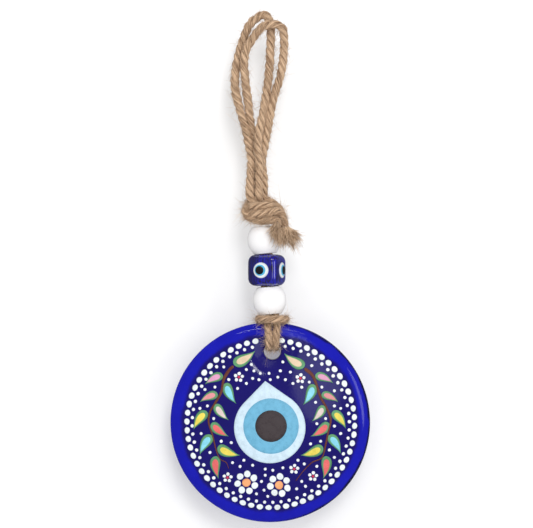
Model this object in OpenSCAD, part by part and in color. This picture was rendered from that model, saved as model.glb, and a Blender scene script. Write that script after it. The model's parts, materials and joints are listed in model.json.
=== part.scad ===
// Evil eye ornament: a domed glass disc with an enamelled eye, hung by jute twine
// under a wooden bead, a glass cube bead and a second wooden bead.
// Millimetres. +Z is up, +X is to the right and the painted front faces -Y.
// The origin is the hanging point, at the inside top of the twine loop.

/* [Glass disc] */
// Diameter of the disc
disc_d = 80; // [76:1:84]
// Thickness at the middle of the disc
disc_t = 8; // [7:0.5:9]
// Radius of the gently domed part of the front, inside the steeper bevel
dome_r = 33.5; // [32:0.5:34]
// How far the dome falls from its middle to that radius
dome_fall = 2.1; // [1.8:0.1:2.4]
// Diameter of the hole that the twine goes through
hole_d = 6.8; // [6.6:0.1:7.4]
// Distance of the hole's centre below the top of the rim
hole_drop = 11.4; // [11:0.1:12]

/* [Enamel] */
// Height of the enamel above the glass
enamel_lift = 0.12; // [0.08:0.02:0.2]
// Height of a leaf's coloured fill above the glass
fill_lift = 0.2; // [0.16:0.02:0.3]
// Depth that every enamel piece is sunk into the glass
enamel_sink = 0.15; // [0.1:0.05:0.3]
// Radius of the white drop
drop_r = 14.2; // [13:0.1:15]
// Radius of the blue iris
iris_r = 11.1; // [10:0.1:12]
// Radius of the dark pupil
pupil_r = 6.4; // [5:0.1:7]
// Diameter of a dot in the outer ring
rim_dot_d = 2.4; // [2:0.1:2.8]
// Diameter of a dot in the inner ring
inner_dot_d = 1.35; // [1:0.05:1.6]
// Diameter of a loose dot
loose_dot_d = 1.2; // [0.8:0.1:1.4]
// Greatest width of a leaf as a share of its length
leaf_width = 0.46; // [0.35:0.01:0.55]

/* [Beads] */
// Diameter of the wooden beads
bead_d = 13.4; // [12.8:0.1:13.6]
// Height of a wooden bead between its flat ends
bead_h = 10.9; // [10.6:0.1:11.2]
// Radius of the curve of a wooden bead's side
bead_side_r = 7.3; // [6.7:0.1:8]
// Bore through all three beads
bead_bore = 7; // [7:0.1:7.2]
// Width of the glass cube bead
cube_w = 12.8; // [12:0.1:13]
// Height of the glass cube bead
cube_h = 12.4; // [11.8:0.1:12.6]
// Radius of the cube bead's rounded edges
cube_edge = 2.9; // [2:0.1:3]
// Turn of the cube bead about the twine
cube_turn = -21.5; // [-45:0.5:45]
// Diameter of the white ring of an eye on the cube bead
cube_eye_d = 6.3; // [5:0.1:7]
// Gap between neighbouring beads: the wooden ones lean and the cube stands upright
bead_gap = 0.45; // [0.45:0.05:0.6]

/* [Twine] */
// Diameter of the twine where it is free
twine_d = 3.2; // [2.8:0.1:3.2]
// Diameter of the twine where it is squeezed, in the beads and in the disc's hole
tight_d = 2.9; // [2.6:0.1:2.9]
// Diameter of the twine where it wraps round the knot
wrap_d = 3.4; // [3:0.1:3.5]
// Lean of the beaded stretch away from upright
lean = 5; // [3:0.5:6]

/* [Hidden] */
$fn = 48;

// Places of the chain, from the hanging point down.
swing_at = [-2.4, 0, -78.1];    // under the knot, where the beaded stretch swings
bead_drop = 0.3;                // from there to the top of the upper bead
string_start = 0.5;             // from there to the top of the strands in the beads
string_stop = 34.4;             // and to their lower ends, inside the lower bead
upper_at = bead_drop + bead_h / 2;
cube_at = upper_at + bead_h / 2 + bead_gap + cube_h / 2;
lower_at = cube_at + cube_h / 2 + bead_gap + bead_h / 2;

// The disc. rim_top is the topmost point of its rim, which the hitch straddles.
rim_top = [0.5, 0, -116.8];
back_y = 3.3;
disc_r = disc_d / 2;
dome_ball_r = (dome_r * dome_r + dome_fall * dome_fall) / (2 * dome_fall);
hole_at = [0.85, disc_r - hole_drop];
hole_lip = 1;                   // height of the rounding at both mouths of the hole
front_lip_spread = 1.3;         // how far the front mouth opens out, sideways
rim_h = 2.3;                    // height of the rim's widest line above the back
shoulder_in = 3.5;              // the front edge starts to turn down this far inside the rim,
shoulder_fall = 0.7;            // this far below the edge of the dome
heel_in = 0.4;                  // the back edge is nearly flat this far inside the rim,
back_flat_r = disc_r - 1.6;     // and flat from here inwards
curve_steps = 6;
dome_steps = 8;

// The painting, in the disc's own plane: x to the right and y up. The eye, branches and
// flowers are laid out about picture_at and the two rings of dots about ring_at, both of
// which are places from the disc's middle.
picture_at = [0, 0.45];
ring_at = [0.2, -0.2];
drop_at = [-0.2, -2];
drop_tip = [-2, 16.5];
drop_steps = 60;
iris_at = [0.3, -1.4];

// The two rings of dots leave a gap at the hole.
ring_step = 6;
rim_ring_r = 33.4;
rim_ring_start = 100.5;
rim_ring_count = 58;
inner_ring_r = 31.3;
inner_ring_start = 103.5;
inner_ring_count = 57;

// Loose dots between the branches and the flowers.
loose_dots_at = [
    [5, 24], [-7.5, 23], [16.5, 22.5], [-18.5, 22], [-9.5, 21], [-6.5, 20.5], [4, 20.5], [8, 20],
    [-4, 19.5], [-0.5, 19.5], [3, 18], [-7, 17.5], [-16.5, 17], [-4.5, 17], [0, 17], [6, 17],
    [15.5, 16], [-9.5, 15.5], [9, 15.5], [-22, 14], [12.5, 14], [20.5, 14], [-13, 13.5], [-26, 13],
    [25.5, 12.5], [18, 8], [-25, 6.5], [25.5, 6.5], [-28, 5.5], [28, 5.5], [-22.5, 1.5], [22, 1.5],
    [18.5, -0.5], [25.5, -1.5], [-27.5, -4.5], [28, -4.5], [-19.5, -7.5], [20, -7.5], [-15.5, -8],
    [16, -8.5], [23.5, -11], [-24, -12], [25.5, -14], [-10.5, -15], [11, -15], [-15, -16],
    [13.5, -16.5], [-7, -17], [-12, -17.5], [18.5, -17.5], [5, -18], [-2, -18.5], [1, -19],
    [-2, -21], [-3.5, -23.5], [12.5, -23.5], [14, -25.5], [10.5, -26.5], [-2.5, -27],
    [-5.5, -28.5], [-1, -29.5]
];

// Branches, from the thick upper end to the thin lower end.
branch_left_route = [
    [-14.5, 22.5], [-16.5, 20.5], [-18.5, 17], [-19.5, 12], [-22, 7.5], [-24, 4], [-24.5, 0],
    [-23, -5], [-21.5, -11], [-20, -14.5], [-17.5, -16], [-16.5, -18.5]
];
branch_right_route = [
    [13.5, 21.5], [16.5, 19], [18, 16], [20, 10], [22.5, 5.5], [24, 1], [23, -4], [22, -9],
    [20.5, -14], [16.5, -16], [13, -19.5], [10, -23.5]
];
branch_widths = [1.3, 0.3];
branch_steps = 3;

// Leaves: colour, base and tip. The midline of each bows inwards a little.
leaves_left = [
    ["peach", [-14.5, 23], [-6, 28.5]], ["pink", [-19, 19], [-26, 15]],
    ["rose", [-21, 11.5], [-28, 8]], ["blue", [-18, 15.5], [-13.5, 7.5]],
    ["cream", [-22, 7], [-16.5, 1]], ["yellow", [-25.5, 4.5], [-30.5, -3]],
    ["red", [-23.5, -0.5], [-16.5, -5.5]], ["blue", [-23.5, -5], [-28, -13]],
    ["yellow", [-21, -10], [-12, -13]], ["red", [-22, -13.5], [-20.5, -22.5]]
];
leaves_right = [
    ["peach", [13.5, 22], [5.5, 27.5]], ["pink", [18, 19], [25, 15.5]],
    ["rose", [20.5, 11.5], [27, 8]], ["blue", [17.5, 15], [13, 7]],
    ["cream", [21.5, 6.5], [16.5, 0.5]], ["yellow", [25, 4.5], [30, -2.5]],
    ["red", [23.5, -0.5], [16, -5.5]], ["blue", [23.5, -5], [28, -12.5]],
    ["yellow", [21, -10], [12, -13]], ["red", [22.5, -13.5], [21, -22.5]]
];
leaf_bow = 0.05;                // sideways bow of a leaf's middle, as a share of its length
leaf_taper = 1.3;               // how fast a leaf narrows towards its tip
leaf_steps = 7;
leaf_spacing = 1.5;             // sets the steps closer together at the round base
fill_start = 0.13;              // the coloured fill runs between these shares of the length,
fill_stop = 0.95;
fill_share = 0.66;              // and has this share of the width

// Flowers. Each is a ring of petals round a centre.
small_flowers_at = [[-12.5, 18], [12, 17.5], [-17, -22], [9.5, -18.5], [17, -21.5]];
small_petal_ring = [5, 1.4, 1.35];    // count, ring radius, petal diameter
small_centre_d = 1.15;
large_flowers_at = [[-9.5, -24], [3.5, -25]];
large_petal_ring = [7, 3.5, 2.7];
large_centre_d = 3.5;
first_petal = 84;

bead_steps = 6;

// Eyes on the cube bead.
cube_eye_blue_d = 0.76 * cube_eye_d;
cube_eye_black_d = 0.58 * cube_eye_d;
cube_eye_lift = 0.1;
cube_eye_sink = 0.5;
cube_eye_shifts = [-0.5, 1];           // each black spot sits to one side, on alternate faces
blue_shift = 0.6;                     // and its blue ring follows it by this share

// The knot: the twine wound round its own four strands.
knot_at = [-1.9, 0];
knot_top = -67;
knot_half_w = 7.2;
knot_half_d = 5.2;
wrap_top = knot_top - wrap_d / 2;
wrap_pitch = 3.6;
wrap_turns = 2;
wrap_steps = 12;
wrap_start = 60;
core_d = 7.6;
core_top = knot_top - 0.1;
core_bottom = -77;

// Routes of the twine that lies in the open, as points on its middle line.
// The outer strand rises at the far left, goes over the top and comes down in the middle.
outer_route = [
    [-7.5, -1, -66.5], [-7.5, -1, -59], [-7, -1, -52], [-8, 0, -45.5], [-9.5, 0, -39],
    [-11.5, 0, -32], [-13.5, 0, -24], [-13.5, 0.5, -17], [-12.5, 1, -11], [-10.5, 1, -4],
    [-8, 0.5, 2], [-4.5, 1, 5.5], [-2, 1.5, 6.5], [0, 1.5, 4.5], [0.7, 1.5, 0], [0.5, 1, -8],
    [0, 0, -17], [-1, 0, -25], [-2.5, -0.5, -34], [-4.5, -1.5, -44], [-4, -2, -52],
    [-4, -1, -59], [-4, -1, -66.5]
];
// The inner strand rises beside it, crosses in front and comes down at the right.
inner_route = [
    [-5.7, 2, -66.5], [-5.7, 2, -59], [-6, 2.2, -52], [-6.5, 1.5, -44], [-7.5, 0.5, -36],
    [-8.5, 0, -28], [-9.5, 0, -20], [-10, -1, -12.5], [-9, -1, -7.5], [-6.5, -1.5, -3.5],
    [-4, -1.5, 0], [-1, -2, 2], [2, -2, 2.2], [5, -1.5, 1], [6, -1, -3], [5.7, 0, -11],
    [4.3, 0, -19], [1.7, 0, -27.5], [0, 0.5, -36], [-1.5, 1, -44], [-2.8, 1.2, -52],
    [-2.2, 1.6, -59], [-2.2, 1.6, -66.5]
];
// One half of the hitch on the disc, from the lower bead down the front, through the hole,
// up the back and over the rim to the middle of the bar. Sideways from the hitch's centre,
// then y, then height above the rim's top.
hitch_half = [
    [1.5, 0, 2.6], [1.8, -0.8, 1], [2, -2.2, -1.5], [2, -3.6, -4], [1.7, -4.5, -7],
    [1.5, -3.7, -9.4], [1.5, -1, -10.2], [1.5, 2, -10.2], [1.7, 4.6, -9], [2.5, 5, -6],
    [3.6, 5, -2.5], [4.8, 3.8, 0], [5.4, 1, 1.4], [5.2, -1.6, 1.4], [3.4, -4.3, 1.5]
];
bar_middle = [0, -4.9, 1.5];
hitch_x = rim_top.x + hole_at.x;

// Frayed ends: where each leaves the knot, where it ends, and its two diameters.
tail_front_ends = [[3.6, -5, -75.8], [2.4, -10, -83.6]];
tail_side_ends = [[5, -3, -75.6], [8.8, -4.2, -86]];
tail_widths = [3.4, 5.4];

function unit(v) = v / norm(v);
function reversed(list) = [for (i = [len(list) - 1:-1:0]) list[i]];
function polar(r, angle) = [r * cos(angle), r * sin(angle)];

// Points on a cubic curve from a to d that leaves towards b and arrives from c.
function curve(a, b, c, d, steps) = [
    for (i = [0:steps])
        let (t = i / steps, s = 1 - t)
        s * s * s * a + 3 * s * s * t * b + 3 * s * t * t * c + t * t * t * d
];

// A smooth line through the points of a route.
function smooth(p, steps) = [
    for (i = [0:len(p) - 2], k = [0:steps - 1])
        let (
            a = p[max(i - 1, 0)],
            b = p[i],
            c = p[i + 1],
            d = p[min(i + 2, len(p) - 1)],
            t = k / steps
        )
        b + t * (c - a) / 2 + t * t * (2 * a - 5 * b + 4 * c - d) / 2
          + t * t * t * (3 * b - a - 3 * c + d) / 2,
    p[len(p) - 1]
];

// Height of the domed front above the disc's back, at a distance r from the middle.
function dome_height(r) = disc_t - dome_ball_r + sqrt(dome_ball_r * dome_ball_r - r * r);

// ---- twine -------------------------------------------------------------------------------------

function tangents(p) = [
    for (i = [0:len(p) - 1]) unit(p[min(i + 1, len(p) - 1)] - p[max(i - 1, 0)])
];

// Carries the last normal of the list along the route, turning it no more than it must.
function carried(t, normals) =
    len(normals) == len(t) ? normals :
    let (
        last = normals[len(normals) - 1],
        here = t[len(normals)]
    )
    carried(t, concat(normals, [unit(last - (last * here) * here)]));

// A round solid of diameter d swept along a route, with flat ends.
module twine(route, d, sides = 8) {
    t = tangents(route);
    across = cross(t[0], abs(t[0].x) < 0.9 ? [1, 0, 0] : [0, 1, 0]);
    normals = carried(t, [unit(across)]);
    last = len(route) - 1;
    points = [
        for (i = [0:last], k = [0:sides - 1])
            let (turn = 360 * k / sides)
            route[i] + d / 2 * (cos(turn) * normals[i] + sin(turn) * cross(t[i], normals[i]))
    ];
    sleeve = [
        for (i = [0:last - 1], k = [0:sides - 1])
            let (here = i * sides, next = (k + 1) % sides)
            [here + k, here + sides + k, here + sides + next, here + next]
    ];
    start_cap = [for (k = [0:sides - 1]) k];
    end_cap = [for (k = [sides - 1:-1:0]) last * sides + k];
    polyhedron(points, concat([start_cap], sleeve, [end_cap]));
}

module loop_strand_outer() {
    color("peru") twine(outer_route, twine_d);
}

module loop_strand_inner() {
    color("tan") twine(inner_route, twine_d);
}

// A child drawn down the beaded stretch, at a distance along it from the swing point.
module along_string(distance) {
    translate(swing_at) rotate([0, -lean, 0]) translate([0, 0, -distance]) children();
}

module string_strand(side) {
    color("peru") along_string(string_stop) translate([side * tight_d / 2, 0, 0])
        cylinder(d = tight_d, h = string_stop - string_start);
}

module string_left() {
    string_strand(-1);
}

module string_right() {
    string_strand(1);
}

// The knot's outer shape: the wrapping turns over the four strands that they hold.
module knot() {
    wraps = [
        for (i = [0:wrap_turns * wrap_steps])
            let (turns = i / wrap_steps, angle = wrap_start - 360 * turns)
            [
                knot_at.x + knot_half_w * cos(angle),
                knot_at.y + knot_half_d * sin(angle),
                wrap_top - wrap_pitch * turns
            ]
    ];
    color("peru") {
        twine(wraps, wrap_d);
        translate([knot_at.x, knot_at.y, core_bottom]) cylinder(d = core_d, h = core_top - core_bottom);
    }
}

// A frayed end, widening towards its tip.
module tail(ends) {
    along = ends[1] - ends[0];
    turn = atan2(along.y, along.x);
    tilt = acos(along.z / norm(along));
    color("burlywood") translate(ends[0]) rotate([0, tilt, turn])
        cylinder(d1 = tail_widths[0], d2 = tail_widths[1], h = norm(along));
}

module tail_front() {
    tail(tail_front_ends);
}

module tail_side() {
    tail(tail_side_ends);
}

module hitch_cord() {
    right = [for (p = hitch_half) [hitch_x + p.x, p.y, rim_top.z + p.z]];
    left = [for (p = hitch_half) [hitch_x - p.x, p.y, rim_top.z + p.z]];
    middle = [hitch_x, bar_middle.y, rim_top.z + bar_middle.z];
    color("burlywood") twine(concat(left, [middle], reversed(right)), tight_d);
}

// ---- beads -------------------------------------------------------------------------------------

// A turned ring: a curved side, two flat ends and the bore.
module wooden_bead(distance) {
    half_h = bead_h / 2;
    side = [
        for (i = [-bead_steps:bead_steps])
            let (h = half_h * i / bead_steps)
            [bead_d / 2 - bead_side_r + sqrt(bead_side_r * bead_side_r - h * h), h]
    ];
    bore = [[bead_bore / 2, half_h], [bead_bore / 2, -half_h]];
    color("white") along_string(distance) rotate_extrude() polygon(concat(side, bore));
}

module upper_bead() {
    wooden_bead(upper_at);
}

module lower_bead() {
    wooden_bead(lower_at);
}

// A square bar with rounded edges, along the Z axis.
module rounded_bar(w, d, h) {
    linear_extrude(h, center = true) {
        square([w - 2 * cube_edge, d], center = true);
        square([w, d - 2 * cube_edge], center = true);
        for (x = [-1, 1], y = [-1, 1])
            translate([x * (w / 2 - cube_edge), y * (d / 2 - cube_edge)]) circle(cube_edge);
    }
}

// The cube bead stands upright on the leaning strands.
module on_cube() {
    along_string(cube_at) rotate([0, lean, 0]) rotate([0, 0, cube_turn]) children();
}

module cube_bead() {
    color("mediumblue") on_cube() difference() {
        intersection() {
            rounded_bar(cube_w, cube_w, cube_h);
            rotate([90, 0, 0]) rounded_bar(cube_w, cube_h, cube_w);
            rotate([0, 90, 0]) rounded_bar(cube_h, cube_w, cube_w);
        }
        cylinder(d = bead_bore, h = 2 * cube_h, center = true);
    }
}

// One layer of the four eyes, each of them moved by a share of its face's own shift.
// A ring when it has an inner diameter.
module cube_eyes(outer_d, outer_share, inner_d = 0, inner_share = 0) {
    on_cube() for (side = [0:3]) {
        shift = cube_eye_shifts[side % 2];
        rotate([90, 0, 90 * side]) translate([0, 0, cube_w / 2 - cube_eye_sink]) difference() {
            translate([outer_share * shift, 0, 0])
                cylinder(d = outer_d, h = cube_eye_sink + cube_eye_lift);
            if (inner_d > 0)
                translate([inner_share * shift, 0, -1]) cylinder(d = inner_d, h = cube_eye_sink + 2);
        }
    }
}

module cube_eye_whites() {
    color("white") cube_eyes(cube_eye_d, 0, cube_eye_blue_d, blue_shift);
}

module cube_eye_blues() {
    color("deepskyblue") cube_eyes(cube_eye_blue_d, blue_shift, cube_eye_black_d, 1);
}

module cube_eye_blacks() {
    color("black") cube_eyes(cube_eye_black_d, 1);
}

// ---- glass disc --------------------------------------------------------------------------------

// Stands a child drawn in the disc's own frame (z is height above its back) in its place.
module disc_frame() {
    translate([rim_top.x, back_y, rim_top.z - disc_r]) rotate([90, 0, 0]) children();
}

// The domed front's line from the middle outwards, raised or sunk by a little.
function dome_line(reach, grow) = [
    for (i = [0:dome_steps])
        let (r = reach * i / dome_steps)
        [r, dome_height(r) + grow]
];

module disc_blank() {
    edge_h = dome_height(dome_r);
    rim = [disc_r, rim_h];
    shoulder = [disc_r - shoulder_in, edge_h - shoulder_fall];
    front_edge = curve([dome_r, edge_h], shoulder, [disc_r, 2 * rim_h], rim, curve_steps);
    back_edge = curve(rim, [disc_r, rim_h / 2], [disc_r - heel_in, 0], [back_flat_r, 0], curve_steps);
    down_to_rim = [for (i = [1:curve_steps]) front_edge[i]];
    down_to_back = [for (i = [1:curve_steps]) back_edge[i]];
    rotate_extrude($fn = 120)
        polygon(concat([[0, 0]], dome_line(dome_r, 0), down_to_rim, down_to_back));
}

module glass_disc() {
    lip_start = dome_height(norm(hole_at)) - hole_lip;
    back_lip_d = hole_d + 2 * hole_lip;
    front_lip_d = hole_d + 2 * front_lip_spread;
    color("navy") disc_frame() difference() {
        disc_blank();
        translate(hole_at) {
            translate([0, 0, -1]) cylinder(d = hole_d, h = disc_t + 2);
            translate([0, 0, -0.01]) cylinder(d1 = back_lip_d, d2 = hole_d, h = hole_lip);
            translate([0, 0, lip_start]) cylinder(d1 = hole_d, d2 = front_lip_d, h = 1.3 * hole_lip);
        }
    }
}

// Enamel that follows the dome: a flat drawing, about picture_at, pressed on to it.
module glaze() {
    skin = concat(dome_line(dome_r, enamel_lift), reversed(dome_line(dome_r, -enamel_sink)));
    disc_frame() intersection() {
        linear_extrude(disc_t + 1) translate(picture_at) children();
        rotate_extrude($fn = 120) polygon(skin);
    }
}

// A small flat piece of enamel, laid square to the dome at one place.
module on_dome(at, lift) {
    r = norm(at);
    disc_frame() translate([at.x, at.y, dome_height(r)])
        rotate(a = asin(r / dome_ball_r), v = [-at.y, at.x, 0])
            translate([0, 0, -enamel_sink]) linear_extrude(enamel_sink + lift) children();
}

module dots(places, d, origin = picture_at) {
    for (at = places) on_dome(origin + at, enamel_lift) circle(d = d, $fn = 24);
}

// The drop: two straight sides from its tip, and the arc that they run into.
module drop_shape() {
    reach = norm(drop_tip - drop_at);
    heading = atan2(drop_tip.y - drop_at.y, drop_tip.x - drop_at.x);
    spread = acos(drop_r / reach);
    arc = [
        for (i = [0:drop_steps])
            drop_at + polar(drop_r, heading + spread + (360 - 2 * spread) * i / drop_steps)
    ];
    polygon(concat([drop_tip], arc));
}

module eye_drop() {
    color("whitesmoke") glaze() difference() {
        drop_shape();
        translate(iris_at) circle(iris_r, $fn = 96);
    }
}

module eye_iris() {
    color("skyblue") glaze() translate(iris_at) difference() {
        circle(iris_r, $fn = 96);
        circle(pupil_r, $fn = 96);
    }
}

module eye_pupil() {
    color("dimgray") glaze() translate(iris_at) circle(pupil_r, $fn = 96);
}

module rim_dots() {
    color("white") dots([
        for (i = [0:rim_ring_count - 1]) polar(rim_ring_r, rim_ring_start + ring_step * i)
    ], rim_dot_d, ring_at);
}

module inner_dots() {
    color("white") dots([
        for (i = [0:inner_ring_count - 1]) polar(inner_ring_r, inner_ring_start + ring_step * i)
    ], inner_dot_d, ring_at);
}

module loose_dots() {
    color("white") dots(loose_dots_at, loose_dot_d);
}

// A stem's outline: a smooth line with a width that tapers from end to end.
module ribbon(route) {
    line = smooth(route, branch_steps);
    t = tangents(line);
    last = len(line) - 1;
    taper = branch_widths[1] - branch_widths[0];
    half = [for (i = [0:last]) (branch_widths[0] + taper * i / last) / 2];
    polygon(concat(
        [for (i = [0:last]) line[i] + half[i] * [-t[i].y, t[i].x]],
        [for (i = [last:-1:0]) line[i] - half[i] * [-t[i].y, t[i].x]]
    ));
}

module branch_left() {
    color("saddlebrown") glaze() ribbon(branch_left_route);
}

module branch_right() {
    color("saddlebrown") glaze() ribbon(branch_right_route);
}

// Half width of a leaf at a share t of its length: round at the base, pointed at the tip.
function leaf_profile(t) = sqrt(t) * pow(1 - t, leaf_taper);
widest_at = 0.5 / (0.5 + leaf_taper);

// A leaf's outline between two shares of its length.
function leaf_outline(base, tip, from, to, width, bow) =
    let (
        along = tip - base,
        side = [-along.y, along.x],
        places = [for (i = [0:leaf_steps]) pow(i / leaf_steps, leaf_spacing)],
        middles = [
            for (t = places)
                let (s = from + (to - from) * t)
                base + s * along + 4 * s * (1 - s) * bow * side
        ],
        halves = [for (t = places) width / 2 * leaf_profile(t) / leaf_profile(widest_at)]
    )
    concat(
        [for (i = [0:leaf_steps]) middles[i] + halves[i] * side],
        [for (i = [leaf_steps - 1:-1:1]) middles[i] - halves[i] * side]
    );

module leaf(entry, bow, from, to, width, lift) {
    middle = (entry[1] + entry[2]) / 2;
    on_dome(picture_at + middle, lift)
        polygon([for (p = leaf_outline(entry[1], entry[2], from, to, width, bow)) p - middle]);
}

module leaf_outlines() {
    color("darkseagreen") {
        for (entry = leaves_left) leaf(entry, -leaf_bow, 0, 1, leaf_width, enamel_lift);
        for (entry = leaves_right) leaf(entry, leaf_bow, 0, 1, leaf_width, enamel_lift);
    }
}

// The fills of one colour.
module leaf_fills(name) {
    width = leaf_width * fill_share;
    for (entry = leaves_left) if (entry[0] == name)
        leaf(entry, -leaf_bow, fill_start, fill_stop, width, fill_lift);
    for (entry = leaves_right) if (entry[0] == name)
        leaf(entry, leaf_bow, fill_start, fill_stop, width, fill_lift);
}

module leaf_fill_peach() {
    color("peachpuff") leaf_fills("peach");
}

module leaf_fill_pink() {
    color("pink") leaf_fills("pink");
}

module leaf_fill_rose() {
    color("lightcoral") leaf_fills("rose");
}

module leaf_fill_blue() {
    color("skyblue") leaf_fills("blue");
}

module leaf_fill_cream() {
    color("mistyrose") leaf_fills("cream");
}

module leaf_fill_yellow() {
    color("gold") leaf_fills("yellow");
}

module leaf_fill_red() {
    color("salmon") leaf_fills("red");
}

module petals(places, ring) {
    dots([
        for (at = places, k = [0:ring[0] - 1]) at + polar(ring[1], first_petal + 360 * k / ring[0])
    ], ring[2]);
}

module small_petals() {
    color("white") petals(small_flowers_at, small_petal_ring);
}

module small_flower_centres() {
    color("crimson") dots(small_flowers_at, small_centre_d);
}

module large_petals() {
    color("white") petals(large_flowers_at, large_petal_ring);
}

module large_flower_centres() {
    color("sandybrown") dots(large_flowers_at, large_centre_d);
}

glass_disc();
eye_drop();
eye_iris();
eye_pupil();
rim_dots();
inner_dots();
loose_dots();
branch_left();
branch_right();
leaf_outlines();
leaf_fill_peach();
leaf_fill_pink();
leaf_fill_rose();
leaf_fill_blue();
leaf_fill_cream();
leaf_fill_yellow();
leaf_fill_red();
small_petals();
small_flower_centres();
large_petals();
large_flower_centres();
cube_bead();
cube_eye_whites();
cube_eye_blues();
cube_eye_blacks();
upper_bead();
lower_bead();
string_left();
string_right();
knot();
tail_front();
tail_side();
loop_strand_outer();
loop_strand_inner();
hitch_cord();
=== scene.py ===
import json
import math

import bmesh
import bpy
import numpy as np
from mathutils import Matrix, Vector


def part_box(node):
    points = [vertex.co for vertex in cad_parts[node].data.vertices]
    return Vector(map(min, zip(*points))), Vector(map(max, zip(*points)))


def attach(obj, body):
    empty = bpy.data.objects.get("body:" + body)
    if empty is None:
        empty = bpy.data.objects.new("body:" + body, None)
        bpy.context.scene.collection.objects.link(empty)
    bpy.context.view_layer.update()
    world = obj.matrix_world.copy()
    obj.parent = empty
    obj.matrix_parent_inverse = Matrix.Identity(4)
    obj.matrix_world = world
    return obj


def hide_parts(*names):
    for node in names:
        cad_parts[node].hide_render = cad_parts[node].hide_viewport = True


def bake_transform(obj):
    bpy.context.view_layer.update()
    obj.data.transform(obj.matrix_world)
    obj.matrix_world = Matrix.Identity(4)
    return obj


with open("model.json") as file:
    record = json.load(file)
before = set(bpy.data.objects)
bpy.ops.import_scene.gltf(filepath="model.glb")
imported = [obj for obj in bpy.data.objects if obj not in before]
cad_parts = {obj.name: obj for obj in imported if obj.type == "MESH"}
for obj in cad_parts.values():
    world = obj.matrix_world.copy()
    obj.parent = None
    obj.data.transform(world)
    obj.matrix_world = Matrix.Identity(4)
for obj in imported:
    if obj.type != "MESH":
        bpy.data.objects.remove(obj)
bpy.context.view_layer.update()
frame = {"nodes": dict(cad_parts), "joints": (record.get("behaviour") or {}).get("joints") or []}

TURN = 2 * math.pi


# ---- camera ----

FRAME_WIDTH = 0.2132       # width of the picture at the ornament
CAMERA_LENS = 100
SENSOR_WIDTH = 36
PICTURE_MIDDLE = Vector((-0.001, 0, -0.0934))


def add_camera():
    data = bpy.data.cameras.new("camera")
    data.lens = CAMERA_LENS
    data.sensor_width = SENSOR_WIDTH
    camera = bpy.data.objects.new("camera", data)
    distance = FRAME_WIDTH * CAMERA_LENS / SENSOR_WIDTH
    camera.location = PICTURE_MIDDLE - Vector((0, distance, 0))
    camera.rotation_euler = (math.pi / 2, 0, 0)
    bpy.context.collection.objects.link(camera)
    bpy.context.scene.camera = camera


add_camera()


# ---- mesh helpers ----

def new_piece(name, points, faces, material, **attributes):
    """A smooth mesh object. Attributes are arrays of a number or a vector for each point."""
    faces = faces.tolist() if isinstance(faces, np.ndarray) else faces
    mesh = bpy.data.meshes.new(name)
    mesh.from_pydata(np.asarray(points).tolist(), [], faces)
    for key, values in attributes.items():
        values = np.asarray(values, np.float32)
        if values.ndim == 1:
            mesh.attributes.new(key, "FLOAT", "POINT").data.foreach_set("value", values)
        else:
            mesh.attributes.new(key, "FLOAT_VECTOR", "POINT").data.foreach_set("vector", values.ravel())
    mesh.shade_smooth()
    mesh.materials.append(material)
    piece = bpy.data.objects.new(name, mesh)
    bpy.context.collection.objects.link(piece)
    return piece


def grid_faces(rows, sides, closed=False):
    """Quads between rows of points that each go once round. Closed joins the last row to the first."""
    row = np.arange(rows if closed else rows - 1)[:, None]
    side = np.arange(sides)[None, :]
    after = (row + 1) % rows
    beside = (side + 1) % sides
    quads = [row * sides + side, row * sides + beside, after * sides + beside, after * sides + side]
    return np.stack(np.broadcast_arrays(*quads), -1).reshape(-1, 4)


def turn_outward(piece):
    """Welds points that fell together and makes every face look outward."""
    work = bmesh.new()
    work.from_mesh(piece.data)
    bmesh.ops.remove_doubles(work, verts=work.verts, dist=1e-6)
    bmesh.ops.recalc_face_normals(work, faces=work.faces)
    work.to_mesh(piece.data)
    work.free()
    return piece


def unit(vectors):
    return vectors / np.linalg.norm(vectors, axis=-1, keepdims=True)


def turned(angle, across, beside):
    """Directions at an angle from one direction towards the one at right angles to it."""
    angle = np.asarray(angle)[..., None]
    return np.cos(angle) * across + np.sin(angle) * beside


def smooth_line(route, step):
    """A smooth line through the points of a route, with points a step apart."""
    p = np.asarray(route, float)
    p = np.vstack([2 * p[0] - p[1], p, 2 * p[-1] - p[-2]])
    t = np.linspace(0, 1, 24, endpoint=False)[:, None]
    parts = [
        b + t * (c - a) / 2 + t**2 * (2 * a - 5 * b + 4 * c - d) / 2 + t**3 * (3 * b - a - 3 * c + d) / 2
        for a, b, c, d in zip(p, p[1:], p[2:], p[3:])
    ]
    dense = np.vstack([*parts, p[-2:-1]])
    along = np.concatenate([[0], np.cumsum(np.linalg.norm(np.diff(dense, axis=0), axis=1))])
    at = np.linspace(0, along[-1], max(2, round(along[-1] / step) + 1))
    return np.stack([np.interp(at, along, dense[:, k]) for k in range(3)], axis=1)


def frames_along(line):
    """Directions along and across a line, carried along it without twist."""
    ahead = unit(np.gradient(line, axis=0))
    first = np.cross(ahead[0], (0.3, 1, 0.2))
    across = [first / np.linalg.norm(first)]
    for direction in ahead[1:]:
        carried = across[-1] - (across[-1] @ direction) * direction
        across.append(carried / np.linalg.norm(carried))
    across = np.array(across)
    return ahead, across, np.cross(ahead, across)


def distance_along(line):
    return np.concatenate([[0], np.cumsum(np.linalg.norm(np.diff(line, axis=0), axis=1))])


def wander(random, at, reach, columns=1):
    """Smooth random numbers, about -1 to 1, that change over a distance of reach."""
    count = int(at[-1] / reach) + 3
    knots = random.uniform(-1, 1, (count, columns))
    place = at / reach
    low = place.astype(int)
    share = (place - low)[:, None]
    share = share * share * (3 - 2 * share)
    return knots[low] * (1 - share) + knots[low + 1] * share


# ---- shader helpers ----

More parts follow.
